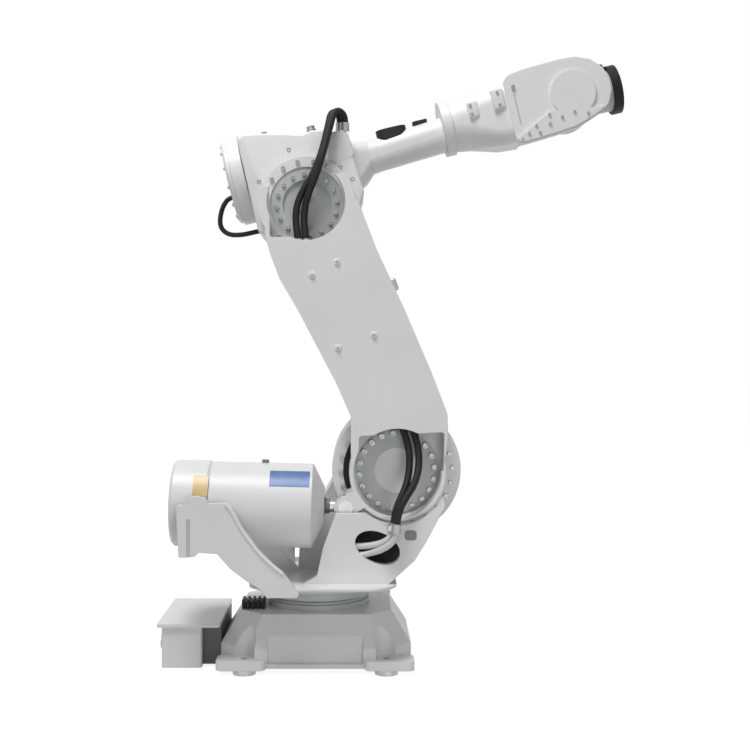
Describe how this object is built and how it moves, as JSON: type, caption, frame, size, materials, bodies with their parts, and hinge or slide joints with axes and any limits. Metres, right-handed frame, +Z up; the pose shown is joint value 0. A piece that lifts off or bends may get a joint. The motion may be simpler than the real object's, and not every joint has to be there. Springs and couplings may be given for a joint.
{
  "type": "industrial robot arm",
  "caption": "Floor-mounted jointed handling arm on a turning base, with a balancer beside the shoulder and a forked wrist that ends in a tool disc.",
  "frame": {"origin": "on axis 1, at the level of the floor under the pads, in the middle of the four floor bolts", "axes": "+X forward, the way the arm reaches; +Y to the far side, away from the lower arm; +Z up along axis 1"},
  "size_m": [1.8898, 0.917, 2.4397],
  "materials": {
    "white_paint": "satin",
    "grey_paint": "satin",
    "pad_steel": "satin",
    "rod_steel": "satin",
    "connector_metal": "satin",
    "dark_grey": "satin",
    "motor_grey": "satin",
    "dark_plastic": "matte",
    "hose_rubber": "matte",
    "disc_black": "satin"
  },
  "bodies": {
    "base": {"floor_pads": "pad_steel", "base_casting": "white_paint", "neck_ring": "grey_paint", "cable_box": "white_paint", "cable_box_lid": "white_paint", "cable_duct": "dark_grey", "box_connectors": "connector_metal", "cable_inlet": "dark_plastic"},
    "frame": {"turntable": "grey_paint", "frame_casting": "white_paint", "shoulder_housing": "white_paint", "shoulder_motor": "motor_grey", "turn_motor": "motor_grey", "stop_post": "white_paint", "frame_hose_clamp": "connector_metal", "low_hoses": "hose_rubber"},
    "balancer": {"balancer_cylinder": "white_paint", "balancer_rear_cap": "white_paint", "balancer_front_cap": "white_paint", "balancer_rod": "rod_steel", "balancer_valve": "dark_grey"},
    "lower_arm": {"lower_arm": "white_paint", "shoulder_flange": "grey_paint", "ear_pin": "rod_steel", "low_hose_clamp": "connector_metal", "high_hose_clamp": "connector_metal", "high_hoses": "hose_rubber"},
    "upper_arm": {"elbow_casting": "white_paint", "elbow_hub": "grey_paint", "rear_drum": "white_paint", "elbow_motor": "motor_grey", "forearm_tube": "white_paint", "tower_hose_clamp": "connector_metal", "tube_cover": "dark_plastic", "tube_block": "dark_plastic", "rear_hose": "hose_rubber"},
    "wrist": {"wrist_flange": "white_paint", "wrist_housing": "white_paint", "near_cheek": "white_paint", "far_cheek": "white_paint", "cheek_covers": "white_paint"},
    "tilt_head": {"tilt_housing": "grey_paint"},
    "tool_disc": {"turning_disc": "disc_black"}
  },
  "joints": [
    {"name": "axis_1", "type": "hinge", "parent": "base", "child": "frame", "pos_m": [0, 0, 0.255], "axis": [0, 0, 1], "range_deg": [-170, 170]},
    {"name": "axis_2", "type": "hinge", "parent": "frame", "child": "lower_arm", "pos_m": [0.32, 0, 0.78], "axis": [0, 1, 0], "range_deg": [-46.3, 103.7], "deforming": ["low_hoses"]},
    {"name": "balancer_swing", "type": "hinge", "parent": "frame", "child": "balancer", "pos_m": [-0.446, 0, 0.656], "axis": [0, -1, 0], "range_deg": [-13.3, 29.5]},
    {"name": "axis_3", "type": "hinge", "parent": "lower_arm", "child": "upper_arm", "pos_m": [-0.03596, 0, 1.83771], "axis": [0, -1, 0], "range_deg": [-64.3, 185.7], "deforming": ["high_hoses"]},
    {"name": "axis_4", "type": "hinge", "parent": "upper_arm", "child": "wrist", "pos_m": [0.5142, 0, 2.17218], "axis": [0.9736, 0, 0.2284], "range_deg": [-300, 300]},
    {"name": "axis_5", "type": "hinge", "parent": "wrist", "child": "tilt_head", "pos_m": [1.03069, 0, 2.29332], "axis": [0, 1, 0], "range_deg": [-130, 130]},
    {"name": "axis_6", "type": "hinge", "parent": "tilt_head", "child": "tool_disc", "pos_m": [1.20447, 0, 2.33408], "axis": [0.9736, 0, 0.2284], "range_deg": [-360, 360]}
  ],
  "couplings": [
    {"joint": "balancer_swing", "follows": "axis_2", "ratio": 0.2775}
  ]
}
